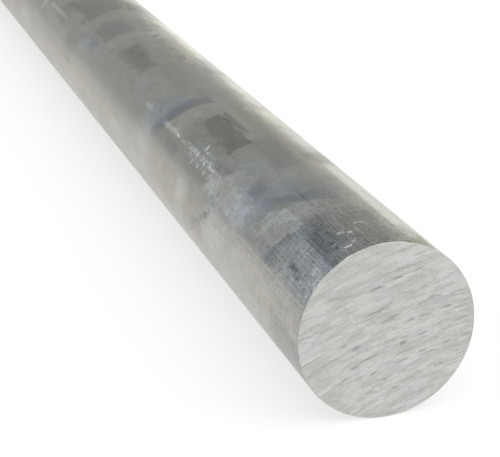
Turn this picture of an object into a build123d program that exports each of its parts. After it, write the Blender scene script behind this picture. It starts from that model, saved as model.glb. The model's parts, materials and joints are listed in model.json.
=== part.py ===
from build123d import *
import os

# Round metal bar: one length of mill-finish aluminium round, sawn square at both ends.
#
# Millimetres, +Z up. The bar lies on its side along X. The origin is on the line where the bar
# touches the floor, under the middle of its length, so the bar's axis runs at Z = bar_radius.
# The near end faces -X and the far end faces +X.

# Driving dimensions
bar_diameter = 50.0  # nominal stock size across the round
bar_length = 1000.0  # cut length, from one sawn face to the other
edge_break = 0.3  # leg of the small chamfer that deburring leaves round each sawn face

# Worked out from the driving dimensions
bar_radius = bar_diameter / 2
node_name = "round_bar"


def round_section():
    """The bar's full round section, on a plane square to its axis at the near sawn end."""
    near_end = Plane(origin=(-bar_length / 2, 0, bar_radius), x_dir=(0, 1, 0), z_dir=(1, 0, 0))
    return near_end * Circle(bar_radius)


def sawn_length():
    """The section drawn out along X to the cut length, as a solid bar with two flat sawn ends."""
    return extrude(round_section(), amount=bar_length)


def deburred(bar):
    """Takes the sharp corner off the rim of each sawn end. The long seam of the round is no edge."""
    rims = bar.edges().filter_by(GeomType.CIRCLE)
    return chamfer(rims, length=edge_break)


def round_bar():
    """The whole bar, one solid."""
    return deburred(sawn_length())


def main():
    os.makedirs("parts", exist_ok=True)
    bar = round_bar()
    bar.label = node_name
    export_step(bar, f"parts/{node_name}.step")
    print(f"{node_name}: {bar_diameter:g} x {bar_length:g} mm, {bar.volume / 1e3:.1f} cm3")


main()
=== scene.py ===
import json
import math
import random
from collections import namedtuple

import bpy
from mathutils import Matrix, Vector, noise


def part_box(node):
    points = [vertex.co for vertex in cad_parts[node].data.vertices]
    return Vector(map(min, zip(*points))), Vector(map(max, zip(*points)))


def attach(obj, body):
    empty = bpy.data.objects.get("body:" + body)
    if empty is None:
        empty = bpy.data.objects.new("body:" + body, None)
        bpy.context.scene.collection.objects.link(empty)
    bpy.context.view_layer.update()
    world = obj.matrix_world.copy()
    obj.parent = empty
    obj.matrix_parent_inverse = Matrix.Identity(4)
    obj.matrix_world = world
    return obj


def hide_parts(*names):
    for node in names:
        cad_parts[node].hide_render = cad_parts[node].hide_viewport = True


# Round metal bar: mill-finish aluminium round, seen from its near sawn end.
# Metres in the CAD's frame: the bar lies along X, and its near sawn face looks towards -X.
# Places on the side are given as the distance along the bar from the near sawn face, and as the
# angle round it in degrees from the top, positive towards +Y.

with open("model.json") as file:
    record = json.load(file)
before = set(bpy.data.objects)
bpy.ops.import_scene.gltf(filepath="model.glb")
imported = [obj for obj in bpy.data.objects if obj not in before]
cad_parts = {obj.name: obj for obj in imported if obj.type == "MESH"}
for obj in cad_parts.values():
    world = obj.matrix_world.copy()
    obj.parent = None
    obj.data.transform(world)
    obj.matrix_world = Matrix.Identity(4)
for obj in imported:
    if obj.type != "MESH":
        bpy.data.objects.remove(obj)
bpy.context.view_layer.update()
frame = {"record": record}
mm = 0.001

# The bar's own sizes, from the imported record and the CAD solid
outside = next(m for m in frame["record"]["mounts"] if m["name"] == "bar_outside")
bar_radius = outside["dims"]["r_mm"] * mm
axis_height = outside["pos_m"][2]
near_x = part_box("round_bar")[0].x
far_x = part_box("round_bar")[1].x
bar_length = far_x - near_x
edge_break = (bar_length - outside["dims"]["length_mm"] * mm) / 2

# How fine the mesh is
face_rings = {-1: 125, 1: 80}  # rings from the middle of the near and far sawn faces to their rims
edge_rings = 6  # rings over a broken edge
side_points = 72  # points round the side, away from the ends
rim_zone = 2 * mm  # how far from an end the side keeps as many points as the rim
side_step = 5 * mm  # the widest gap between rings along the side
step_growth = 1.5  # each gap from an end over the one before, up to the widest

# The broken edges
edge_power = 1.6  # the section's shape: 1 is a quarter circle and 2 a flat chamfer
edge_unevenness = 0.06 * mm
edge_waves = 4  # how finely the unevenness varies round the rim
nick_depth = 0.35 * mm
nick_waves = 22  # the same for its nicks
nick_rarity = 0.35  # 0 puts nicks on half of the rim, 1 on none of it

# Saw marks: arcs of a circular saw blade whose centre lies below and to the right of the face
blade_radius = 160 * mm
blade_direction = math.radians(-70.5)  # from the face's centre to the blade's, 0 is to the right
ridge_spacing = 3.3 * mm
ridge_depth = 0.6 * mm
ridge_length = 10  # mm along the lay
small_ridge_scale = 0.45  # the small ridges' spacing over that of the ridges
small_ridge_length = 7  # mm along the lay
ridge_wall = 0.12  # share of a ridge's width that is its steep wall
tear_strength = 0.7  # how much of its own depth a tear adds
# The torn share darkens the sawn face in its tears: partly oxide, partly painted shade
full_tear = 0.10 * mm  # a tear this deep looks fully torn
face_seed = 20.0  # which noise the near and far faces get, with a minus for the near one

# What each kind of relief adds to a sawn face, as a share of the ridge depth
Relief = namedtuple("Relief", "level ridges small_ridges swell fine torn")
relief_share = Relief(level=0.25, ridges=0.54, small_ridges=0.24, swell=0.12, fine=0.04, torn=0.25)

# The saw left a thin crescent a little lower, just inside the rim on the left
crescent_depth = 0.06 * mm
crescent_shift = 0.9 * mm  # how far left of the face's centre its inner arc has its centre
crescent_radius = 24.2 * mm  # of that arc
crescent_border = 0.3 * mm  # how softly it begins there
crescent_fade = 20 * mm  # how far to the left of the centre it reaches its full depth

# Marks of the rotary straightener, which run round the bar as one long helix
helix_pitch = 110 * mm
roll_mark_place = 40 * mm  # the first mark's middle, at the top of the bar
roll_mark_half = 5.5 * mm  # half of its width
roll_mark_depth = 0.04 * mm
waviness_depth = 0.03 * mm
waviness_length = 45 * mm  # of one wave along the bar
waviness_round = 1.6  # how finely the waves vary round it


# ---- the bar's mesh

Ring = namedtuple("Ring", "end depth radius points face_share")
Tear = namedtuple("Tear", "across up length width depth")

# The larger tears on the near face, in mm from its centre: right, up, length, width and depth
near_tears = (
    Tear(8.0, 20.6, 2.6, 0.5, 0.10),
    Tear(7.9, 16.6, 4.0, 0.8, 0.15),
    Tear(2.6, 14.8, 3.2, 1.1, 0.13),
    Tear(-3.4, 12.3, 4.6, 1.7, 0.16),
    Tear(12.7, 13.6, 1.2, 0.8, 0.16),
    Tear(12.3, 8.5, 2.4, 1.0, 0.18),
    Tear(-4.0, 5.6, 7.5, 0.8, 0.14),
    Tear(1.4, 3.9, 4.2, 1.3, 0.20),
    Tear(6.3, 2.2, 3.6, 0.8, 0.20),
    Tear(16.6, 5.0, 4.0, 0.8, 0.18),
    Tear(10.4, 3.2, 5.0, 0.6, 0.14),
    Tear(4.6, -3.9, 2.4, 1.3, 0.24),
    Tear(10.3, -1.8, 3.0, 0.7, 0.16),
    Tear(9.9, -7.1, 3.4, 0.9, 0.18),
    Tear(17.2, -5.2, 3.2, 0.7, 0.18),
    Tear(4.4, -9.0, 5.0, 0.6, 0.14),
    Tear(-3.4, -11.6, 4.0, 0.6, 0.14),
    Tear(-5.4, -7.2, 7.5, 0.7, 0.14),
    Tear(22.6, -3.8, 3.6, 0.8, 0.18),
    Tear(21.0, 1.0, 6.0, 0.6, 0.14),
    Tear(22.4, 6.4, 3.0, 0.6, 0.16),
    Tear(-4.4, -17.0, 3.0, 0.8, 0.14),
    Tear(-8.6, -3.6, 3.4, 1.4, 0.12),
    Tear(-11.0, 6.6, 6.0, 0.8, 0.10),
)


def random_tears(seed, count):
    """Small tears scattered over a sawn face."""
    farthest = 23  # mm from its centre
    draw = random.Random(seed)
    tears = []
    for _ in range(count):
        reach = farthest * math.sqrt(draw.random())
        turn = draw.uniform(0, 2 * math.pi)
        length = draw.uniform(1.0, 4.5)
        width = draw.uniform(0.35, 0.9)
        depth = draw.uniform(0.05, 0.16)
        tears.append(Tear(reach * math.cos(turn), reach * math.sin(turn), length, width, depth))
    return tears


def blade_place(across, up):
    """A place on a sawn face as the saw sees it: distance out from the arc through the face's
    centre, and travel along that arc."""
    from_blade_x = across - blade_radius * math.cos(blade_direction)
    from_blade_y = up - blade_radius * math.sin(blade_direction)
    out = math.hypot(from_blade_x, from_blade_y) - blade_radius
    travel = -math.atan2(from_blade_x, from_blade_y)
    middle = -math.atan2(-math.cos(blade_direction), -math.sin(blade_direction))
    return out, (middle - travel) * blade_radius


def tear_depth(out, travel, tear):
    """Depth in metres of one comma-shaped tear, steep on its outer side."""
    tear_out, tear_travel = blade_place(tear.across * mm, tear.up * mm)
    length = (travel - tear_travel) / (tear.length * mm / 2)
    if abs(length) > 1:
        return 0.0
    curl, shift = 0.5, 0.2
    outer_steepness, inner_steepness = 1.4, 0.7
    side = (out - tear_out) / (tear.width * mm / 2) + curl * length * length - shift
    side *= outer_steepness if side > 0 else inner_steepness
    bowl = 1 - length * length - side * side
    return tear.depth * mm * bowl if bowl > 0 else 0.0


def rough(x, y, z):
    """Smooth noise from -1 to 1."""
    return noise.noise(Vector((x, y, z)))


def eased(value):
    """0 below 0, 1 above 1 and smooth between."""
    value = min(1.0, max(0.0, value))
    return value * value * (3 - 2 * value)


def shingles(out, travel, spacing, length, seed):
    """Depth from 0 to 1 of overlapping ridges, with places and sizes in mm. Going outwards each
    ridge sinks slowly and ends at the short wall of the next. Along the lay it comes and goes."""
    # The ridges sway by this share of their spacing, slowly and raggedly
    waver = 0.8 * rough(travel / (4 * spacing), out / (2 * spacing), seed)
    ragged = 0.13 * rough(travel / (0.45 * spacing), out / (0.4 * spacing), seed + 3)
    phase = out / spacing + waver + ragged
    ridge = math.floor(phase)
    sunk = phase - ridge
    profile = sunk if sunk < 1 - ridge_wall else (1 - sunk) * (1 - ridge_wall) / ridge_wall
    presence = 0.45 + 1.5 * rough(ridge * 3.7, travel / length, seed + 9)
    return profile * eased(presence)


def crescent(across, up):
    """The saw's crescent inside the left of the rim: 1 on it and 0 elsewhere."""
    beyond_arc = math.hypot(across + crescent_shift, up) - crescent_radius
    return eased(beyond_arc / crescent_border) * eased(-across / crescent_fade)


def saw_relief(across, up, seed, tears):
    """How far a sawn face lies below its highest ridges, in metres, and its torn share."""
    out, travel = blade_place(across, up)
    out_mm = out / mm
    travel_mm = travel / mm
    spacing = ridge_spacing / mm
    small_spacing = spacing * small_ridge_scale
    ridges = shingles(out_mm, travel_mm, spacing, ridge_length, seed)
    small_ridges = shingles(out_mm, travel_mm, small_spacing, small_ridge_length, seed + 40)
    # Noise by its size in mm, out and along the lay
    swell = rough(out_mm / 6, travel_mm / 14, seed + 60)
    fine = rough(out_mm / 0.4, travel_mm / 7, seed + 23)
    torn_here = max(0.0, rough(across / mm / 8, up / mm / 8, seed + 47) + 0.15)
    torn = torn_here * rough(out_mm / 0.9, travel_mm / 1.8, seed + 31)
    depth = ridge_depth * (
        relief_share.level
        + relief_share.ridges * ridges
        + relief_share.small_ridges * small_ridges
        + relief_share.swell * swell
        + relief_share.fine * fine
        + relief_share.torn * torn
    )
    pit = sum(tear_depth(out, travel, tear) for tear in tears)
    depth = max(0.0, depth + tear_strength * pit + crescent_depth * crescent(across, up))
    return depth, min(1.0, pit / full_tear)


def side_relief(along, angle):
    """How far the side lies inside its nominal radius, in metres: roll marks and waviness."""
    lap = (along - helix_pitch * angle / (2 * math.pi)) % helix_pitch
    groove = eased(1 - abs(lap - roll_mark_place) / roll_mark_half)
    y = waviness_round * math.sin(angle)
    z = waviness_round * math.cos(angle)
    waviness = 0.5 + 0.5 * rough(along / waviness_length, y, z)
    return roll_mark_depth * groove + waviness_depth * waviness


def edge_wear(angle, end):
    """Extra metal lost at a spot on the rim, in metres."""
    y = math.sin(angle)
    z = math.cos(angle)
    uneven = 0.5 + 0.5 * rough(edge_waves * y, edge_waves * z, 7.0 * end)
    nick = max(0.0, rough(nick_waves * y, nick_waves * z, 3.0 * end) - nick_rarity)
    return edge_unevenness * uneven + nick_depth * nick


def half_rings(end):
    """The rings of one half of the skin, from the middle of its sawn face out over the edge and
    along to the bar's middle. end is -1 for the near half and 1 for the far one."""
    flat_radius = bar_radius - edge_break
    count = face_rings[end]
    rim_points = 6 * count
    rings = [Ring(end, 0.0, flat_radius * k / count, max(1, 6 * k), 1.0) for k in range(count + 1)]
    for step in range(1, edge_rings + 1):
        turn = math.pi / 2 * step / edge_rings
        depth = edge_break * (1 - math.cos(turn) ** edge_power)
        radius = flat_radius + edge_break * math.sin(turn) ** edge_power
        rings.append(Ring(end, depth, radius, rim_points, 1 - step / edge_rings))
    depth = edge_break
    gap = edge_break
    while depth + gap < bar_length / 2:
        depth += gap
        points = rim_points if depth < rim_zone else side_points
        rings.append(Ring(end, depth, bar_radius, points, 0.0))
        gap = min(gap * step_growth, side_step)
    return rings


def on_edge(ring):
    """Whether the ring is on a broken edge or at its borders."""
    return ring.radius > bar_radius - 1.01 * edge_break and ring.depth < 2 * edge_break


def ring_vertices(ring, tears):
    """The vertices of one ring, from the top round, with the relief in mm and the torn share."""
    plane_x = near_x if ring.end < 0 else far_x
    along = ring.depth if ring.end < 0 else bar_length - ring.depth
    vertices = []
    marks = []
    for i in range(ring.points):
        angle = 2 * math.pi * i / ring.points
        y = math.sin(angle)
        z = math.cos(angle)
        inward = torn = 0.0
        radius = ring.radius
        if ring.face_share > 0:
            seed = face_seed * ring.end
            relief, torn = saw_relief(ring.end * y * radius, z * radius, seed, tears)
            inward = ring.face_share * relief
        marks.append((inward / mm, torn))
        if ring.face_share < 1:
            radius -= (1 - ring.face_share) * side_relief(along, angle)
        if on_edge(ring):
            wear = edge_wear(angle, ring.end)
            inward += wear * ring.face_share
            radius -= wear * (1 - 0.5 * ring.face_share)
        x = plane_x - ring.end * (ring.depth + inward)
        vertices.append((x, radius * y, axis_height + radius * z))
    return vertices, marks


def joined(first, second):
    """Triangles between two rings of vertex numbers that start at the top and run the same way."""
    triangles = []
    i = j = 0
    while i < len(first) or j < len(second):
        here = first[i % len(first)]
        there = second[j % len(second)]
        if (j + 1) * len(first) <= (i + 1) * len(second):
            j += 1
            triangle = (here, there, second[j % len(second)])
        else:
            i += 1
            triangle = (here, there, first[i % len(first)])
        if len(set(triangle)) == 3:
            triangles.append(triangle)
    return triangles


def material_between(ring, next_ring):
    """The material between two rings: 0 for the side, 1 for a sawn face, 2 for a broken edge."""
    shares = (ring.face_share, next_ring.face_share)
    if min(shares) == 1:
        return 1
    return 0 if max(shares) == 0 else 2


def bar_mesh():
    """The whole skin of the bar as one closed mesh."""
    near_face_tears = list(near_tears) + random_tears(seed=4, count=28)
    tears = {-1: near_face_tears, 1: random_tears(seed=9, count=70)}
    rings = half_rings(-1) + half_rings(1)[::-1]
    vertices = []
    marks = []
    numbers = []
    for ring in rings:
        ring_places, ring_marks = ring_vertices(ring, tears[ring.end])
        numbers.append(range(len(vertices), len(vertices) + ring.points))
        vertices += ring_places
        marks += ring_marks
    triangles = []
    materials = []
    for ring, next_ring, here, there in zip(rings, rings[1:], numbers, numbers[1:]):
        new = joined(here, there)
        triangles += new
        materials += [material_between(ring, next_ring)] * len(new)
    mesh = bpy.data.meshes.new("round_bar_skin")
    mesh.from_pydata(vertices, [], triangles)
    mesh.polygons.foreach_set("material_index", materials)
    mesh.polygons.foreach_set("use_smooth", [True] * len(triangles))
    attribute = mesh.attributes.new("marks", "FLOAT_VECTOR", "POINT")
    numbers_kept = [number for relief, torn in marks for number in (relief, torn, 0.0)]
    attribute.data.foreach_set("vector", numbers_kept)
    mesh.update()
    return mesh


# ---- shader arithmetic


class Field:
    """A number that changes over a surface: a node's output that takes ordinary arithmetic."""

    def __init__(self, tree, socket):
        self.tree = tree
        self.socket = socket

    def maths(self, operation, *others):
        """The Math node's operation on this number and the others."""
        node = self.tree.nodes.new("ShaderNodeMath")
        node.operation = operation
        for socket, value in zip(node.inputs, (self, *others)):
            feed(self.tree, value, socket)
        return Field(self.tree, node.outputs[0])

    def __add__(self, other):
        return self.maths("ADD", other)

    def __sub__(self, other):
        return self.maths("SUBTRACT", other)

    def __mul__(self, other):
        return self.maths("MULTIPLY", other)

    def __truediv__(self, other):
        return self.maths("DIVIDE", other)

    def __mod__(self, other):
        return self.maths("FLOORED_MODULO", other)

    def __neg__(self):
        return self * -1

    def __abs__(self):
        return self.maths("ABSOLUTE")

    def ramp(self, start, end):
        """0 at start and 1 at end, smooth between them and level beyond."""
        node = self.tree.nodes.new("ShaderNodeMapRange")
        node.interpolation_type = "SMOOTHSTEP"
        # A smooth step is level beyond its ends by itself. With clamp on, each ramp would also get
        # a clamp node, and so many of those fill the shader's stack, which leaves the bar black.
        node.clamp = False
        feed(self.tree, self, node.inputs["Value"])
        node.inputs["From Min"].default_value = start
        node.inputs["From Max"].default_value = end
        return Field(self.tree, node.outputs["Result"])

    def change(self, start, end, before, after):
        """before at start and after at end, smooth between them and level beyond."""
        return self.ramp(start, end) * (after - before) + before


def feed(tree, value, socket):
    """Links a Field to an input socket, or sets the socket to a plain value."""
    if isinstance(value, Field):
        tree.links.new(value.socket, socket)
    else:
        socket.default_value = value


def between(value, low, high, soft):
    """1 between low and high, falling to 0 over soft beyond each."""
    return value.ramp(low - soft, low) * value.ramp(high + soft, high)


def split_vector(tree, vector):
    """The three parts of a vector socket as Fields."""
    node = tree.nodes.new("ShaderNodeSeparateXYZ")
    tree.links.new(vector, node.inputs[0])
    return [Field(tree, output) for output in node.outputs]


class Surface:
    """A new Principled metal material with its coordinates in mm: along the bar from the near sawn
    face, across towards +Y and up, both from the bar's axis."""

    def __init__(self, name):
        self.material = bpy.data.materials.new(name)
        self.material.use_nodes = True
        self.tree = self.material.node_tree
        self.shader = self.tree.nodes["Principled BSDF"]
        self.shader.inputs["Metallic"].default_value = 1.0
        place = self.tree.nodes.new("ShaderNodeTexCoord").outputs["Object"]
        self.point = self.vector("SUBTRACT", place, (near_x, 0.0, axis_height))
        self.point = self.vector("SCALE", self.point, scale=1 / mm)
        self.along, self.across, self.up = split_vector(self.tree, self.point)

    def vector(self, operation, first, second=None, scale=None):
        """The Vector Math node's operation on a vector socket and a plain vector or scale."""
        node = self.tree.nodes.new("ShaderNodeVectorMath")
        node.operation = operation
        self.tree.links.new(first, node.inputs[0])
        if second is not None:
            node.inputs[1].default_value = second
        if scale is not None:
            node.inputs["Scale"].default_value = scale
        return node.outputs[0]

    def grain(self, sizes, seed, detail=2.0, roughness=0.5, point=None):
        """Noise from about -1 to 1, whose spots are about sizes mm long along, across and up."""
        stretched = self.vector("DIVIDE", point or self.point, sizes)
        shifted = self.vector("ADD", stretched, (seed * 7.3, seed * 3.1, seed * 5.7))
        node = self.tree.nodes.new("ShaderNodeTexNoise")
        self.tree.links.new(shifted, node.inputs["Vector"])
        node.inputs["Scale"].default_value = 1.0
        node.inputs["Detail"].default_value = detail
        node.inputs["Roughness"].default_value = roughness
        return (Field(self.tree, node.outputs[0]) - 0.5) * 3.0

    def marks(self):
        """The relief in mm and the torn share kept on the mesh."""
        node = self.tree.nodes.new("ShaderNodeAttribute")
        node.attribute_name = "marks"
        relief, torn, _ = split_vector(self.tree, node.outputs["Vector"])
        return relief, torn

    def combined(self, x, y, z):
        """A vector socket from three Fields."""
        node = self.tree.nodes.new("ShaderNodeCombineXYZ")
        for socket, value in zip(node.inputs, (x, y, z)):
            feed(self.tree, value, socket)
        return node.outputs[0]

    def colour(self, tone, blue, warm):
        """Sets the base colour: tone is its green, and red and blue follow from how much of each
        tint it has. A minus in blue is olive, which reddens the metal only up to a point."""
        reddening = blue.maths("MAXIMUM", -0.3)
        red_share = warm * 0.045 - reddening * 0.055 + 0.98
        blue_share = blue * 0.11 - warm * 0.025 + 0.95
        node = self.tree.nodes.new("ShaderNodeCombineColor")
        for value, socket in zip((tone * red_share, tone, tone * blue_share), node.inputs):
            feed(self.tree, value, socket)
        self.tree.links.new(node.outputs[0], self.shader.inputs["Base Color"])

    def roughness(self, value):
        """Sets the shader's roughness."""
        feed(self.tree, value, self.shader.inputs["Roughness"])

    def bump(self, height):
        """Bends the shading normal by a height in mm."""
        node = self.tree.nodes.new("ShaderNodeBump")
        node.inputs["Strength"].default_value = 1.0
        node.inputs["Distance"].default_value = mm
        feed(self.tree, height, node.inputs["Height"])
        self.tree.links.new(node.outputs[0], self.shader.inputs["Normal"])


# ---- marks on the side

# One of the stains or rubs on the side, or a patch of painted highlight. It lies from start to end
# mm from the near sawn face at its lowest angle, and covers the angles from low to high. The soft
# values are the widths of its four borders, in mm and degrees. tone is its change in brightness,
# and blue its tint, where a minus is olive. slant is how many mm it moves along the bar for each
# degree.
stain_or_highlight_fields = "start end low high near_soft far_soft low_soft high_soft tone blue slant"
StainOrHighlight = namedtuple("StainOrHighlight", stain_or_highlight_fields, defaults=(0, 0))

helix_slant = helix_pitch / mm / 360

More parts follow.
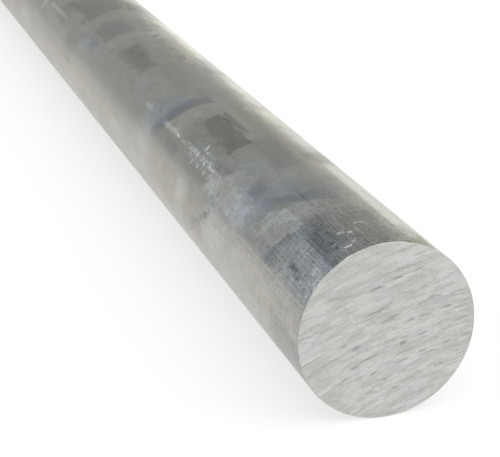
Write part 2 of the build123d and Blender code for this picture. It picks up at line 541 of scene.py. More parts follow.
# Handling marks of the near end, what the straightener left on its first three laps, and painted
# highlight
first_stains_and_highlight = (
    # the sawn end, down to the first roll mark
    StainOrHighlight(-20, 31, -12, 30, 1, 8, 6, 6, -0.22, -0.1),
    StainOrHighlight(6, 31, 16, 36, 3, 3, 8, 4, -0.27, 0.5),  # dark patch
    StainOrHighlight(-20, 24, 27, 39.5, 1, 4, 3.5, 2.5, -0.34, 0.9),
    StainOrHighlight(13, 24, 23, 31, 4, 4, 3, 3, -0.14),
    StainOrHighlight(2, 11, 23, 28.5, 2, 3, 2, 2, 0.20),
    StainOrHighlight(-20, 16, 36, 44, 1, 4, 2, 3, 0.0, 0.8),
    StainOrHighlight(-20, 28, 36.5, 67, 1, 3, 3, 7, 0.14, 0.55, 0.28),  # blue-grey hatched metal below it
    StainOrHighlight(-20, 11, 41, 61, 1, 6, 5, 6, 0.18, 0.15),
    StainOrHighlight(-20, 14, 44, 57.5, 1, 8, 3, 3, 0.20),
    StainOrHighlight(23.5, 29.3, 36, 67, 4, 2, 3, 4, -0.21, 1.1, 0.24),  # and its dark border
    StainOrHighlight(25, 34, 56, 67, 3, 3, 4, 3, -0.16, 0.2, 0.15),
    StainOrHighlight(28, 38.5, 14, 68, 3, 1.5, 8, 8, 0.15, -0.05, 0.33),  # lighter metal before the roll mark
    StainOrHighlight(27.5, 46, 31, 64, 1.5, 5, 4, 8, 0.28, 0.3, 0.17),
    StainOrHighlight(33.6, 44, -2, 50, 2, 6, 8, 24, -0.26, 1.0, 0.335),  # the straightener's roll mark
    StainOrHighlight(39, 48, 14, 31, 2, 5, 5, 5, -0.07, 0.6, 0.335),
    StainOrHighlight(40, 56, -10, 28, 4, 8, 10, 12, -0.12, 0.5, 0.2),
    StainOrHighlight(43, 68, 38, 63, 5, 6, 8, 8, 0.16, 0.8, 0.15),
    StainOrHighlight(44, 62, 49, 56, 5, 4, 3, 2, 0.14),
    StainOrHighlight(44, 58, 60, 67, 5, 3, 3, 2, -0.11),
    StainOrHighlight(57, 70, 64, 73, 3, 6, 3, 4, 0.13),
    StainOrHighlight(23, 36, 50, 68, 3, 3, 4, 3, -0.12, 0.0, 0.1),
    StainOrHighlight(28, 53, 16.5, 21.5, 6, 4, 2, 2, -0.15),
    # between the roll mark and the dark oblong
    StainOrHighlight(57, 71, 27, 46, 4, 5, 6, 4, -0.18, 1.1),
    StainOrHighlight(71, 78, 45, 51, 3, 3, 2.5, 2.5, -0.12),
    StainOrHighlight(82, 94, 55.5, 61, 3, 2, 2, 2, -0.13),
    StainOrHighlight(54, 96.5, 41, 66, 8, 3, 9, 6, 0.32, 0.1),
    StainOrHighlight(66, 86, 30, 52, 8, 4, 7, 4, 0.26, 0.4),
    StainOrHighlight(72, 92, 18, 40, 8, 6, 8, 8, 0.02, 0.6),
    StainOrHighlight(84, 96.5, 51, 68, 4, 2, 3, 5, 0.16, 0.2),
    StainOrHighlight(92.5, 99, 50, 59, 2, 2, 3, 3, 0.20),
    StainOrHighlight(82, 92, 75, 88, 3, 4, 3, 4, -0.15, 0.0, 0.2),
    StainOrHighlight(80, 100, 94, 108, 6, 6, 4, 6, -0.06),
    StainOrHighlight(80, 120, 46, 67, 6, 8, 5, 4, 0.0, 0.1),
    StainOrHighlight(80, 94, 60, 80, 4, 4, 4, 6, 0.05, 0.6),
    StainOrHighlight(64, 102, -6, 19, 8, 8, 6, 6, -0.20, -0.1),
    StainOrHighlight(84, 101, 40, 49, 3, 4, 3, 1.5, -0.26, 0.2),
    # the dark oblong and round it
    StainOrHighlight(95, 133, 13.5, 37, 3, 2.5, 3, 9, -0.42, -0.1),
    StainOrHighlight(104, 133, 8.5, 17, 8, 3, 3, 4, -0.34, -0.3),
    StainOrHighlight(96, 114, 18, 37, 3, 10, 5, 5, -0.12),
    StainOrHighlight(98, 133, 34, 48, 4, 5, 4, 1.5, -0.12),
    StainOrHighlight(96, 124, 55, 68, 3, 5, 3, 4, -0.10),
    StainOrHighlight(130, 147, 55, 68, 4, 4, 3, 4, -0.20, 0.3),
    StainOrHighlight(131, 145.5, 22, 50, 4, 1.5, 6, 5, 0.14, -0.1, 0.2),
    # second and third laps
    StainOrHighlight(142.5, 153.5, 6, 66, 1.5, 6, 10, 12, -0.30, 0.3, 0.2),
    StainOrHighlight(146, 157, 21, 66, 2, 6, 10, 12, 0.0, 1.2, 0.2),
    StainOrHighlight(138, 168, 43, 55, 6, 8, 4, 4, 0.10, 0.0, 0.1),
    StainOrHighlight(150, 164, 4, 20, 5, 6, 6, 6, -0.14, 0.0, 0.1),
    StainOrHighlight(148, 160, 32, 66, 6, 8, 10, 6, 0.0, 0.8, 0.1),
    StainOrHighlight(146, 168, 20, 62, 5, 8, 10, 8, -0.04, 1.0, 0.29),
    StainOrHighlight(158, 178, 42, 70, 5, 6, 8, 5, 0.20, 0.9, 0.15),
    StainOrHighlight(168, 206, 4, 28, 8, 8, 6, 6, -0.10, -0.2),
    StainOrHighlight(180, 206, 30, 60, 6, 8, 6, 8, 0.06, 0.2),
    StainOrHighlight(204, 244, 19, 41, 6, 6, 6, 9, -0.32, -0.3),
    StainOrHighlight(218, 243, 15, 28, 6, 5, 4, 5, -0.20, -0.5),
    StainOrHighlight(244, 258, 0, 45, 4, 4, 10, 10, 0.10, 0.0, 0.2),
    StainOrHighlight(256, 286, 8, 42, 5, 8, 6, 4, -0.26, 0.0, 0.15),
    StainOrHighlight(267, 281, 44, 58, 3, 4, 3, 4, -0.14, 0.6, 0.1),
    StainOrHighlight(275, 298, 45, 68, 6, 8, 6, 6, 0.08, 0.6, 0.1),
    StainOrHighlight(296, 306, 36, 53, 4, 4, 4, 4, 0.06, -0.1),
    StainOrHighlight(300, 313, 37, 45, 4, 4, 2.5, 2.5, -0.18),
    StainOrHighlight(286, 302, 8, 30, 5, 5, 6, 6, -0.09, 0.0, 0.1),
    StainOrHighlight(228, 262, -4, 14, 8, 8, 6, 6, 0.06),
    StainOrHighlight(196, 212, 8, 20, 6, 6, 5, 5, -0.06),
    StainOrHighlight(314, 328, 17, 29, 4, 4, 5, 4, -0.10),
    StainOrHighlight(314, 330, 61, 68, 5, 5, 2, 2, 0.12),
    StainOrHighlight(288, 316, 46, 90, 8, 8, 10, 10, -0.16, -0.3, 0.2),
    StainOrHighlight(298, 345, -10, 40, 4, 20, 10, 6, -0.32, -0.3),
    StainOrHighlight(324, 352, 28, 64, 6, 8, 6, 8, -0.16),
    # towards -Y: the dark ones are stains, the light ones painted highlight with a cream tint
    StainOrHighlight(-20, 13, -34, -8, 1, 5, 5, 4, -0.62, -3.2, -0.3),
    StainOrHighlight(10, 24, -30, -12, 4, 5, 4, 4, -0.16, -0.5, -0.5),
    StainOrHighlight(52, 72, -17, -6, 6, 8, 2, 5, -0.11, -0.2),
    StainOrHighlight(-20, 66, -17.5, -3, 1, 20, 3, 8, -0.24, -0.2),
    # painted highlight, as are the other light ones in this group
    StainOrHighlight(12, 74, -44, -15, 5, 5, 6, 2, 0.08, -0.1),
    StainOrHighlight(14, 74, -28, -14.5, 6, 6, 4, 3, 0.22, -0.1),
    StainOrHighlight(80.5, 97.5, -44, -8, 4, 5, 4, 6, -0.42, -1.4, -0.5),
    StainOrHighlight(72, 96, -18, -4, 4, 8, 4, 6, -0.14, -0.7, -0.3),
    StainOrHighlight(78, 165, -14, 6, 8, 20, 3, 8, -0.12, -0.3, -0.2),
    StainOrHighlight(104, 140, -10, 12, 8, 8, 6, 6, 0.0, -0.6),
    StainOrHighlight(90, 112, -44, -16, 4, 8, 6, 6, 0.16, 0.1),
    StainOrHighlight(112, 137, -40, -6, 5, 6, 8, 8, 0.24, -0.9),
    StainOrHighlight(96, 186, -38, -17, 8, 8, 10, 3, 0.14, 0.0, -0.4),
    StainOrHighlight(140, 196, -34, -6, 8, 8, 8, 8, 0.12, 0.0, -0.4),
    StainOrHighlight(140, 340, -46, -17, 10, 60, 8, 6, 0.26, -0.2),
    StainOrHighlight(188, 202, -44, -6, 6, 6, 6, 8, -0.30, -0.2, -0.3),
    StainOrHighlight(210, 240, -46, -26, 8, 10, 6, 6, -0.10, 0.0, -0.5),
    StainOrHighlight(258, 300, -40, -10, 10, 15, 8, 6, 0.12, 0.0, -0.6),
    StainOrHighlight(218, 306, -44, 6, 10, 30, 6, 16, 0.39, -0.2, -0.6),
    StainOrHighlight(294, 318, -28, -2, 6, 6, 6, 8, -0.30, -0.3),
    StainOrHighlight(322, 400, -42, -8, 8, 90, 8, 6, 0.30, -0.2, -0.3),
    StainOrHighlight(196, 246, -20, 16, 8, 8, 8, 6, 0.0, -0.5),
    StainOrHighlight(282, 330, -16, 12, 8, 8, 8, 6, 0.0, -0.6),
    # towards +Y
    StainOrHighlight(-20, 26, 74, 90, 1, 8, 4, 6, -0.08, -0.2),
    StainOrHighlight(-20, 24, 86, 124, 1, 10, 8, 8, -0.28, 0.0, 0.3),
    StainOrHighlight(18, 48, 80, 96, 6, 8, 5, 5, 0.0, -0.6, 0.2),
    StainOrHighlight(66, 88, 78, 98, 5, 5, 6, 6, 0.10, 0.2),
    StainOrHighlight(83, 113, 64, 110, 8, 8, 8, 14, -0.25, -0.3, 0.12),
    StainOrHighlight(98, 118, 74, 98, 4, 6, 4, 8, 0.0, -0.7, 0.2),
    StainOrHighlight(109, 121, 70, 87, 3, 4, 4, 4, 0.09),
    StainOrHighlight(119, 160, 70, 108, 6, 12, 8, 10, -0.17, -1.1),
    StainOrHighlight(170, 420, 58, 94, 20, 60, 10, 12, -0.16, -0.2),
    StainOrHighlight(58, 80, 68, 90, 6, 6, 4, 8, 0.04),
    StainOrHighlight(250, 278, 76, 92, 8, 8, 6, 6, 0.08),
    StainOrHighlight(188, 206, 82, 98, 6, 6, 6, 6, -0.06),
    StainOrHighlight(138, 160, 72, 84, 6, 6, 4, 5, 0.06),
    StainOrHighlight(256, 345, 98, 122, 12, 20, 8, 8, 0.08, 0.0, 0.2),
    StainOrHighlight(316, 350, 76, 104, 6, 12, 6, 6, -0.10, 0.0, 0.2),
)

# What comes again with every lap after the third, with painted highlight towards -Y
later_stains_and_highlight = (
    StainOrHighlight(35, 46, -2, 62, 1.5, 5, 14, 14, -0.32, 0.6, helix_slant),
    StainOrHighlight(30, 37, 4, 68, 4, 1.0, 10, 10, 0.20, 0.0, helix_slant),
    StainOrHighlight(56, 69, 27, 46, 3, 5, 6, 6, -0.20, 0.6),
    StainOrHighlight(55, 94, 40, 67, 8, 8, 9, 9, 0.16, 0.3, 0.1),
    StainOrHighlight(95, 132, 9, 35, 3, 2.5, 5, 5, -0.30, -0.2),
    StainOrHighlight(86, 133, 33, 48, 3, 4, 4, 4, -0.13),
    StainOrHighlight(70, 88, -38, -14, 9, 9, 11, 11, -0.26, -0.6, -0.4),
    # painted highlight towards -Y
    StainOrHighlight(90, 140, -40, -18, 8, 8, 8, 8, 0.14),
    StainOrHighlight(65, 86, 77, 96, 6, 6, 6, 6, 0.10, 0.2),
    StainOrHighlight(84, 112, 64, 96, 9, 6, 12, 12, -0.16, 0.0, 0.3),
)

# What comes again with every lap where the photograph doesn't reach
hidden_stains = (
    StainOrHighlight(33, 45, -178, -70, 4, 8, 24, 24, -0.15, 0.5, helix_slant),
    StainOrHighlight(46, 58, -150, -96, 6, 8, 18, 18, 0.10, 0.3, helix_slant),
    StainOrHighlight(70, 102, -112, -88, 7, 8, 9, 9, -0.20, -0.2, 0.1),
    StainOrHighlight(12, 52, -160, -128, 9, 12, 11, 11, 0.12, 0.4, 0.1),
    StainOrHighlight(98, 126, 128, 156, 5, 8, 9, 9, -0.18, 0.1, 0.1),
    StainOrHighlight(30, 66, -84, -54, 10, 9, 10, 10, -0.14, 0.4),
)

# Flecks that run round the bar: mm from the near sawn face, lowest and highest angle, width in mm
Fleck = namedtuple("Fleck", "place low high width")
white_flecks = (
    Fleck(5.5, 18.0, 26.0, 1.3),
    Fleck(6.7, 15.5, 19.5, 1.0),
    Fleck(9.8, 26.5, 31.0, 0.8),
    Fleck(10.2, 13.0, 15.5, 1.2),
    Fleck(12.4, 12.5, 16.5, 2.2),
    Fleck(14.3, 17.0, 22.5, 1.6),
    Fleck(17.0, 1.5, 9.5, 1.3),
    Fleck(97.6, 48.5, 51.0, 3.0),
    Fleck(100.6, 48.0, 51.0, 2.2),
    Fleck(101.8, 45.5, 49.0, 1.6),
    Fleck(101.6, 53.0, 58.5, 1.6),
    Fleck(105.4, 49.5, 52.5, 2.2),
    Fleck(108.6, 42.5, 45.5, 2.0),
    Fleck(108.4, 46.5, 51.5, 1.5),
    Fleck(109.0, 53.0, 58.5, 1.5),
    Fleck(111.7, 37.5, 45.0, 1.8),
    Fleck(114.4, 46.5, 52.5, 2.2),
    Fleck(115.2, 54.0, 60.0, 1.3),
    Fleck(117.2, 46.5, 51.0, 1.6),
    Fleck(119.4, 47.0, 55.0, 1.3),
    Fleck(121.8, 47.5, 52.0, 1.6),
)
dark_flecks = (
    Fleck(16.2, 53.0, 57.4, 7.5),
    Fleck(12.2, 55.8, 59.6, 5.5),
    Fleck(83.4, 57.0, 61.0, 2.4),
    Fleck(86.6, 60.5, 66.0, 4.0),
    Fleck(83.6, 65.0, 70.0, 2.0),
    Fleck(85.0, 70.5, 76.5, 4.0),
    Fleck(87.5, 75.5, 81.0, 4.5),
    Fleck(91.6, 79.0, 85.0, 4.0),
    Fleck(94.8, 85.0, 90.5, 4.0),
    Fleck(98.2, 87.0, 93.0, 4.5),
    Fleck(100.4, 93.0, 100.0, 3.5),
)

lap_lead = 0.25  # a repeated stain's lap starts this share of a lap before the stain
lap_wander = 14  # mm between its farthest places from lap to lap


def node_group(name, inputs, outputs):
    """A new node group, its inputs as Fields, and the node that takes its outputs."""
    group = bpy.data.node_groups.new(name, "ShaderNodeTree")
    for socket in inputs:
        group.interface.new_socket(socket, in_out="INPUT", socket_type="NodeSocketFloat")
    for socket in outputs:
        group.interface.new_socket(socket, in_out="OUTPUT", socket_type="NodeSocketFloat")
    start = group.nodes.new("NodeGroupInput")
    fields = {name: Field(group, start.outputs[name]) for name in inputs}
    return group, fields, group.nodes.new("NodeGroupOutput")


def use_group(tree, group, values):
    """Puts a group in a node tree with values for its inputs, and gives its outputs as Fields."""
    node = tree.nodes.new("ShaderNodeGroup")
    node.node_tree = group
    for name, value in values.items():
        feed(tree, value, node.inputs[name])
    return [Field(tree, output) for output in node.outputs]


def lap_chance(place, lap, seed):
    """A number from 0 to 1 for each lap of the helix, and 0.5 on the first."""
    lap_number = (place / lap + lap_lead).maths("FLOOR")
    node = place.tree.nodes.new("ShaderNodeTexWhiteNoise")
    node.noise_dimensions = "1D"
    feed(place.tree, lap_number + seed, node.inputs["W"])
    later = lap_number.ramp(0.2, 0.8)
    return (Field(place.tree, node.outputs["Value"]) - 0.5) * later + 0.5


def stain_or_highlight_group(name, lap=None):
    """A group that lays one patch over a tone and a tint: one of the stains, or painted highlight.
    ragged roughens the patch's borders, and share is how strong it is. With a lap, the patch comes
    again every lap mm, each time a little elsewhere and weaker or stronger."""
    before = ("along", "angle", "ragged", "share", "old_tone", "old_blue")
    group, field, result = node_group(name, before + StainOrHighlight._fields, ("tone", "blue"))
    along, angle = field["along"], field["angle"]
    place = along - (angle - field["low"]) * field["slant"] - field["start"]
    share = field["share"]
    if lap:
        chance = lap_chance(place, lap, field["start"] * 10 + field["low"])
        lead = lap * lap_lead
        place = (place + lead) % lap - lead + (chance - 0.5) * lap_wander
        share = share * (chance * 1.1 + 0.45)
    inside = place / field["near_soft"]
    other_borders = (
        (field["end"] - field["start"] - place) / field["far_soft"],
        (angle - field["low"]) / field["low_soft"],
        (field["high"] - angle) / field["high_soft"],
    )
    for border in other_borders:
        inside = inside.maths("MINIMUM", border)
    mask = (inside + field["ragged"]).ramp(0, 1) * share
    feed(group, field["old_tone"] * (mask * field["tone"] + 1.0), result.inputs["tone"])
    feed(group, field["old_blue"] + mask * field["blue"], result.inputs["blue"])
    return group


def fleck_group():
    """A group that adds one fleck to a mask: 1 over its core, falling to 0 at its edges."""
    core = 0.45  # share of the fleck's size
    inputs = ("along", "angle", "old_mask") + Fleck._fields
    group, field, result = node_group("fleck", inputs, ("mask",))
    half_height = (field["high"] - field["low"]) * 0.5
    ends = abs(field["angle"] - field["low"] - half_height) / half_height
    sides = abs(field["along"] - field["place"]) / (field["width"] * 0.5)
    inside = ends.maths("MAXIMUM", sides).ramp(1, core)
    feed(group, inside.maths("MAXIMUM", field["old_mask"]), result.inputs["mask"])
    return group


def fleck_mask(group, along, angle, flecks):
    """All flecks of a list as one mask."""
    mask = 0.0
    for fleck in flecks:
        values = dict(fleck._asdict(), along=along, angle=angle, old_mask=mask)
        mask, = use_group(along.tree, group, values)
    return mask


# ---- materials

# The side's tone on the shader's scale, its roughness, and the heights of its fine relief in mm
side_tone = 0.44
side_roughness = 0.29
axial_height = 0.0030
hoop_height = 0.0028
speckle_height = 0.0012


class MillSide(Surface):
    """The side: satin grey mill finish with stains, roll marks, rubs and fine scratches, with
    painted highlight and shade. Its methods give tones, where 1 is the bare metal, and masks from
    0 to 1."""

    def __init__(self):
        super().__init__("mill_side")
        self.angle = self.across.maths("ARCTAN2", self.up) * (180 / math.pi)
        # Spots of four sizes, streaks, scratches along and round, and a slow drift further along
        self.cloud = self.grain((30, 14, 14), seed=1, detail=3)
        self.blotch = self.grain((11, 7, 7), seed=5, detail=4, roughness=0.6)
        self.mottle = self.grain((3.0, 2.2, 2.2), seed=2, detail=4, roughness=0.65)
        self.speckle = self.grain((0.6, 0.5, 0.5), seed=6, detail=2)
        self.streak = self.grain((30, 1.4, 1.4), seed=8, detail=3, roughness=0.6)
        self.axial = self.grain((18, 0.40, 0.40), seed=3, detail=3, roughness=0.6)
        self.hoop = self.grain((0.40, 6, 6), seed=4, detail=3, roughness=0.6)
        self.drift = self.grain((90, 12, 12), seed=9, detail=2) * self.along.ramp(150, 300)
        self.clean = self.clean_metal()
        # The -Y side, where the painted highlight gets its cream tint: less blue and warmer
        self.right = self.angle.ramp(8, -18)
        self.one_fleck = fleck_group()

    def clean_metal(self):
        """A mask of the clean and warm metal below a line along the bar, where the grey stops."""
        line = self.along.change(66, 104, 66.6, 69.0)
        softness = self.along.change(90, 210, 2.4, 14.4)
        return ((self.angle + self.mottle * 0.6 - line) / softness).ramp(0, 1)

    def unstained(self):
        """The tone and the tint before the stains, with the cream tint of the painted highlight
        towards -Y.
        """
        grey = -self.clean + 1.0
        near_end = self.along.ramp(95, 55) * self.angle.ramp(4, 20)
        clouds = self.cloud * self.along.change(100, 180, 0.06, 0.13)
        tone = clouds + self.blotch * 0.10 + self.mottle * 0.14 + self.drift * 0.20 + 1.0
        spots = self.cloud * 0.3 + self.blotch * 0.4 + self.mottle * 0.4
        blue = (spots + near_end * 0.5 - self.right * 0.5 - 0.25) * grey
        olive = self.clean * (self.along.ramp(180, 230) * 0.5 + self.drift * 0.5)
        return tone, blue - olive

    def stained_and_highlit(self, tone, blue):
        """The tone and the tint with all stains and the painted highlight laid over them."""
        once = stain_or_highlight_group("stain_or_highlight")
        each_lap = stain_or_highlight_group("stain_or_highlight_of_each_lap", helix_pitch / mm)
        full_share = self.cloud * 0.3 + 1.0
        later_share = self.along.ramp(330, 355) * (self.cloud * 0.6 + 0.95)  # past the third lap
        ragged = self.blotch * 0.8 + self.mottle * 0.7
        layers = (
            (once, first_stains_and_highlight, full_share),
            (each_lap, later_stains_and_highlight, later_share),
            (each_lap, hidden_stains, full_share),
        )
        for group, stains_and_highlight, share in layers:
            given = dict(along=self.along, angle=self.angle, ragged=ragged, share=share)
            for stain_or_highlight in stains_and_highlight:
                values = dict(given, **stain_or_highlight._asdict(), old_tone=tone, old_blue=blue)
                tone, blue = use_group(self.tree, group, values)
        return tone, blue

    def wear(self):
        """How strong the scratches are: most near the sawn end, above all on its dark patch."""
        wear = self.along.change(56, 14, 0.3, 1.05) - self.along.ramp(80, 170) * 0.15
        dark_patch = self.along.ramp(34, 27) * between(self.angle, -2, 40, 5)
        on_clean = self.clean * self.along.ramp(60, 20) * -0.4 + 1.0
        return (wear + dark_patch * 0.10) * on_clean

    def scratches(self):
        """Fine scratches along and round the bar, in turns, and a fine grit between them."""
        patches = self.grain((9, 6, 6), seed=17, detail=2)
        axial_here = (patches + 0.1).ramp(-0.4, 0.5)
        hoop_here = (patches * -1 + self.blotch * 0.4).ramp(-0.4, 0.5)
        lengthwise = self.axial * axial_here * self.along.change(140, 60, 0.12, 0.45)
        crosswise = self.hoop * hoop_here * 0.50
        dust = self.speckle * self.along.change(130, 60, 0.14, 0.50)
        grit = self.grain((1.6, 1.1, 1.1), seed=18, detail=3, roughness=0.6)
        grit = grit * self.along.ramp(60, 25) * (self.clean * -0.7 + 1.0)
        return (lengthwise + crosswise + dust + grit * 0.22) * self.wear()

    def hatching(self):
        """Crossed scratches over the near end, strongest on its blue-grey metal."""
        lengthwise = self.grain((14, 0.55, 0.55), seed=41, detail=0.5).ramp(-0.1, 0.5)
        crosswise = self.grain((0.60, 12, 12), seed=42, detail=0.5).ramp(-0.1, 0.5)
        mean = 0.62
        blue_grey = (self.along - self.angle * 0.25).ramp(24, 12) * between(self.angle, 22, 62, 5)
        strength = blue_grey * 0.10 + self.along.ramp(60, 30) * 0.05
        return (lengthwise + crosswise - mean) * strength

    def dark_specks(self):
        """Dark flecks, as a change of tone. Those at the sawn end are the darkest."""
        along = self.along + self.mottle * 1.2
        angle = self.angle + self.mottle * 2.4
        specks = fleck_mask(self.one_fleck, along, angle, dark_flecks)
        specks = specks * (self.speckle + self.mottle).ramp(-0.5, 0.1)
        return specks * self.along.change(60, 30, -0.42, -0.62)

    def worn(self, tone):
        """The tone with scratches, specks and the slow changes along and round the bar."""
        light_line = between(self.angle, 68.0, 68.7, 0.5) * self.along.ramp(60, 45)
        cloudlet = self.grain((16, 9, 9), seed=10, detail=3, roughness=0.55)
        cloudlet = cloudlet * self.along.ramp(70, 150)
        changes = (
            # Darker down the side towards +Y: partly a stain's darker edge, partly painted shade
            # where the side mirrors a darker floor
            self.angle.ramp(52, 67) * -0.14,  # down the side towards +Y
            self.clean * 0.03,
            self.dark_specks() + light_line * 0.20,
            self.along.ramp(320, 480) * -0.16,  # towards the far end
            self.clean * (self.along.ramp(110, 330) * -0.13 + cloudlet * 0.12),
            self.scratches(),
            self.hatching(),
            self.streak * self.clean * 0.12,
        )
        for change in changes:
            tone = tone * (change + 1.0)
        return tone

    def scuff(self):
        """A mask of the white scuff along the bar, in four lengths. The first two are broken."""
        place = self.angle + self.mottle * 0.7 - self.along.ramp(134, 150) * 1.2
        line = between(place, 48.2, 50.4, 1.7)
        broken = self.grain((3, 1, 1), seed=31, detail=3).ramp(-0.2, 0.5)
        strength = between(self.along, 138, 153, 4) * (broken * 0.35 + 0.38)
        strength = strength + between(self.along, 96, 137, 3) * broken * 0.7
        strength = strength + between(self.along, 173, 181, 2) * 0.30
        strength = strength + between(self.along, 331, 362, 6) * 0.4
        return line * strength

    def pale_specks(self, rubbed):
        """A mask of the white flecks that run round the bar, and of pale dots on rubbed metal."""
        along = self.along + self.mottle * 0.5 + self.speckle * 0.25
        angle = self.angle + self.blotch * 1.2 + self.speckle * 0.8
        specks = fleck_mask(self.one_fleck, along, angle, white_flecks)
        specks = specks * (self.speckle + self.mottle * 0.7).ramp(-0.75, 0.0) * 0.85
        at_sawn_end = between(self.along, 5, 16, 4) * between(self.angle, 12, 23, 4)
        before_scuff = between(self.along, 86, 96, 4) * between(self.angle, 46, 64, 5)
        dotted = before_scuff * 0.8 + rubbed * 0.8 + at_sawn_end * 0.3
        dots = self.grain((1.3, 1.0, 1.0), seed=33, detail=3, roughness=0.6).ramp(0.05, 0.45)
        return specks + dotted * dots * 0.5

    def warmth(self):
        """How warm the metal is: most below the grey, and a little towards -Y, where it is the
        tint of the painted highlight.
        """
        warm = self.streak * 0.8 + self.blotch * 0.8 + self.along.ramp(100, 300) * 0.5 + 0.9
        return self.clean * warm + self.right * 0.3 + self.mottle * 0.3


def mill_side():
    """The side's material."""
    side = MillSide()
    tone, blue = side.stained_and_highlit(*side.unstained())
    tone = side.worn(tone)
    rubbed = between(side.along, 99, 118, 6) * between(side.angle, 44, 53, 6)
    white = side.scuff().maths("MAXIMUM", side.pale_specks(rubbed))
    tone = tone + white * 0.95 + rubbed * 0.10
    blue = (blue + white * 0.4 + rubbed * 0.5).maths("MINIMUM", 1.5)
    side.colour(tone * side_tone, blue, side.warmth())
    near = side.along.ramp(120, 50)
    scratched = (side.axial + side.hoop) * near
    side.roughness(side.mottle * 0.03 + scratched * 0.03 + white * 0.2 + side_roughness)
    grooves = side.axial * axial_height + side.hoop * hoop_height
    side.bump((grooves + side.speckle * speckle_height) * (near * 0.8 + 0.2))
    return side.material


def sawn_face():
    """A sawn end: pale, matt, with the fine lay of the saw between its ridges."""
    surface = Surface("sawn_face")
    # Which end it is, -1 for the near one and 1 for the far one: each is sawn as seen from outside
    middle = bar_length / mm / 2
    end = surface.along.change(0.9 * middle, 1.1 * middle, -1, 1)
    # Places as the saw sees them, in mm: out from the arc through the face's centre, and along it
    blade = blade_radius / mm
    from_blade_x = surface.across * end - blade * math.cos(blade_direction)
    from_blade_y = surface.up - blade * math.sin(blade_direction)
    square = from_blade_x * from_blade_x + from_blade_y * from_blade_y
    out = square.maths("SQRT") - blade
    travel = from_blade_x.maths("ARCTAN2", from_blade_y) * blade
    arcs = surface.combined(out, travel, end)
    lines = surface.grain((0.35, 11, 1), seed=14, detail=3, roughness=0.6, point=arcs)
    bands = surface.grain((1.5, 16, 1), seed=15, detail=2, point=arcs)
    flakes = surface.grain((1.9, 7, 1), seed=16, detail=3, roughness=0.6, point=arcs)
    flakes = (flakes + bands * 0.3).ramp(-0.05, 0.12)
    mottle = surface.grain((5, 5, 5), seed=11, detail=3)
    small = surface.grain((0.6, 0.6, 0.6), seed=13, detail=3)
    relief, torn = surface.marks()
    tone = mottle * 0.03 + small * 0.05 + lines * 0.06 + bands * 0.03 + flakes * 0.055 + 0.500
    # Deeper relief and tears are darker: partly oxide in the hollows, partly painted shade in them
    tone = tone - (relief - 0.25) * 0.14 - torn * 0.12
    surface.colour(tone, mottle * 0.4 + 0.15, small * 0.4 + mottle * 0.4 + 0.35)
    surface.roughness(mottle * 0.03 - flakes * 0.06 + 0.53)
    surface.bump(small * 0.008 + lines * 0.016)
    return surface.material


def broken_edge():
    """The narrow deburred edge, dull beside the sawn face."""
    surface = Surface("broken_edge")
    mottle = surface.grain((1.5, 1.5, 1.5), seed=21, detail=2)
    surface.colour(mottle * 0.05 + 0.50, mottle * 0.1, mottle * 0.2)
    surface.roughness(mottle * 0.05 + 0.60)
    return surface.material


# ---- floor, light and camera

floor_radius = 30.0
floor_points = 96
floor_grey = 0.94
floor_glow_share = 0.7  # how much of its white is glow, which keeps the shadow pale
card_grey = 0.40  # how much darker the metal mirrors the floor towards +Y
wall_level = 0.48  # the room's grey, where 1 is white

# The photograph's view, from the middle of the near sawn face
camera_back, camera_left, camera_above = 328.0 * mm, 142.6 * mm, 160.5 * mm
camera_yaw, camera_pitch = math.radians(17.72), math.radians(20.31)
camera_lens, camera_sensor = 107.27, 36.0  # Blender's own millimetres


def link(name, data):
    """A new object in the scene."""
    thing = bpy.data.objects.new(name, data)
    bpy.context.scene.collection.objects.link(thing)
    return thing


def seen_rays(tree):
    """Three masks: rays from the camera, rays that metal mirrors and rays through glass."""
    path = tree.nodes.new("ShaderNodeLightPath")
    names = ("Is Camera Ray", "Is Glossy Ray", "Is Transmission Ray")
    return [Field(tree, path.outputs[name]) for name in names]


def floor_material():
    """White that glows to the camera and in the metal, and still keeps a shadow."""
    material = bpy.data.materials.new("floor_white")
    material.use_nodes = True
    tree = material.node_tree
    tree.nodes.clear()
    diffuse = tree.nodes.new("ShaderNodeBsdfDiffuse")
    diffuse.inputs["Color"].default_value = (floor_grey, floor_grey, floor_grey, 1)
    glow = tree.nodes.new("ShaderNodeEmission")
    glow.inputs["Color"].default_value = (1, 1, 1, 1)
    camera_ray, glossy_ray, through_ray = seen_rays(tree)
    # Towards +Y the metal mirrors a greyer floor, as if a grey card lay beside the bar
    place = tree.nodes.new("ShaderNodeTexCoord").outputs["Object"]
    card = split_vector(tree, place)[1].ramp(0.04, 0.30)
    feed(tree, glossy_ray * card * -card_grey + 1.0, glow.inputs["Strength"])
    seen = camera_ray.maths("MAXIMUM", glossy_ray).maths("MAXIMUM", through_ray)
    mix = tree.nodes.new("ShaderNodeMixShader")
    feed(tree, seen * floor_glow_share, mix.inputs[0])
    tree.links.new(diffuse.outputs[0], mix.inputs[1])
    tree.links.new(glow.outputs[0], mix.inputs[2])
    output = tree.nodes.new("ShaderNodeOutputMaterial")
    tree.links.new(mix.outputs[0], output.inputs["Surface"])
    return material


def floor():
    """A plain white floor that keeps a soft shadow."""
    rim = []
    for i in range(floor_points):
        turn = 2 * math.pi * i / floor_points
        rim.append((floor_radius * math.cos(turn), floor_radius * math.sin(turn), 0.0))
    mesh = bpy.data.meshes.new("floor")
    mesh.from_pydata(rim, [], [range(floor_points)])
    mesh.materials.append(floor_material())
    plane = link("floor", mesh)


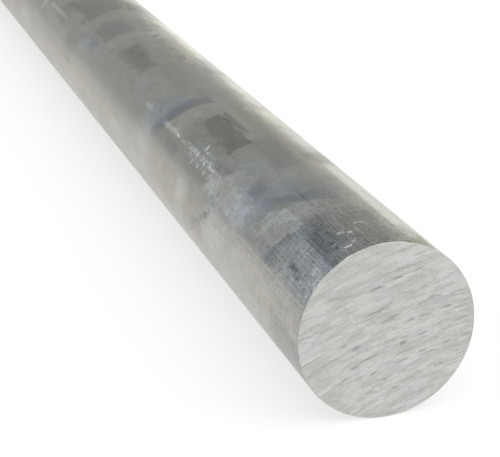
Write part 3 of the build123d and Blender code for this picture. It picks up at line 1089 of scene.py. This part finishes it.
def studio():
    """The room round the floor: grey, with a white horizon that is dimmer towards +Y, a window
    towards -Y, a soft box overhead and a bright front behind the camera."""
    world = bpy.data.worlds.new("studio")
    bpy.context.scene.world = world
    world.use_nodes = True
    tree = world.node_tree
    background = tree.nodes["Background"]
    direction = tree.nodes.new("ShaderNodeTexCoord").outputs["Generated"]
    forward, across, height = split_vector(tree, direction)
    horizon = height.ramp(0.06, 0.005) * across.change(0.15, 0.40, 1.0, 0.4)
    window = (across * -0.8 - height * 0.6).ramp(0.08, 0.36)
    overhead = height.ramp(0.55, 0.9)
    front = forward.ramp(-0.15, -0.6) * height.ramp(0.10, 0.35)
    bright = horizon.maths("MAXIMUM", window)
    level = bright * (1 - wall_level) + overhead * 0.5 + wall_level
    level = level.maths("MINIMUM", 1.0) + front * 1.15
    node = tree.nodes.new("ShaderNodeCombineColor")
    for socket in node.inputs[:3]:
        feed(tree, level, socket)
    tree.links.new(node.outputs[0], background.inputs["Color"])
    background.inputs["Strength"].default_value = 1.0


def sun(name, strength, spread, towards):
    """A soft lamp far away. spread is in degrees, and towards is the way its light travels."""
    lamp = bpy.data.lights.new(name, "SUN")
    lamp.energy = strength
    lamp.angle = math.radians(spread)
    link(name, lamp).rotation_euler = Vector(towards).to_track_quat("-Z", "Y").to_euler()


def camera():
    """The photograph's view: from in front of the near end, a little above and to its left."""
    lens = bpy.data.cameras.new("camera")
    lens.lens = camera_lens
    lens.sensor_width = camera_sensor
    viewer = link("camera", lens)
    viewer.location = (near_x - camera_back, camera_left, axis_height + camera_above)
    level = math.cos(camera_pitch)
    look = Vector((
        math.cos(camera_yaw) * level,
        -math.sin(camera_yaw) * level,
        -math.sin(camera_pitch),
    ))
    viewer.rotation_euler = look.to_track_quat("-Z", "Y").to_euler()
    bpy.context.scene.camera = viewer


# ---- the scene

bar = link("round_bar_finished", bar_mesh())
for make_material in (mill_side, sawn_face, broken_edge):
    bar.data.materials.append(make_material())
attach(bar, "root")
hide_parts("round_bar")

floor()
studio()
sun("key", strength=0.45, spread=50, towards=(0.35, 0.55, -0.9))
sun("fill", strength=0.2, spread=60, towards=(0.5, -0.5, -0.8))
camera()
bpy.context.scene.view_settings.view_transform = "Standard"
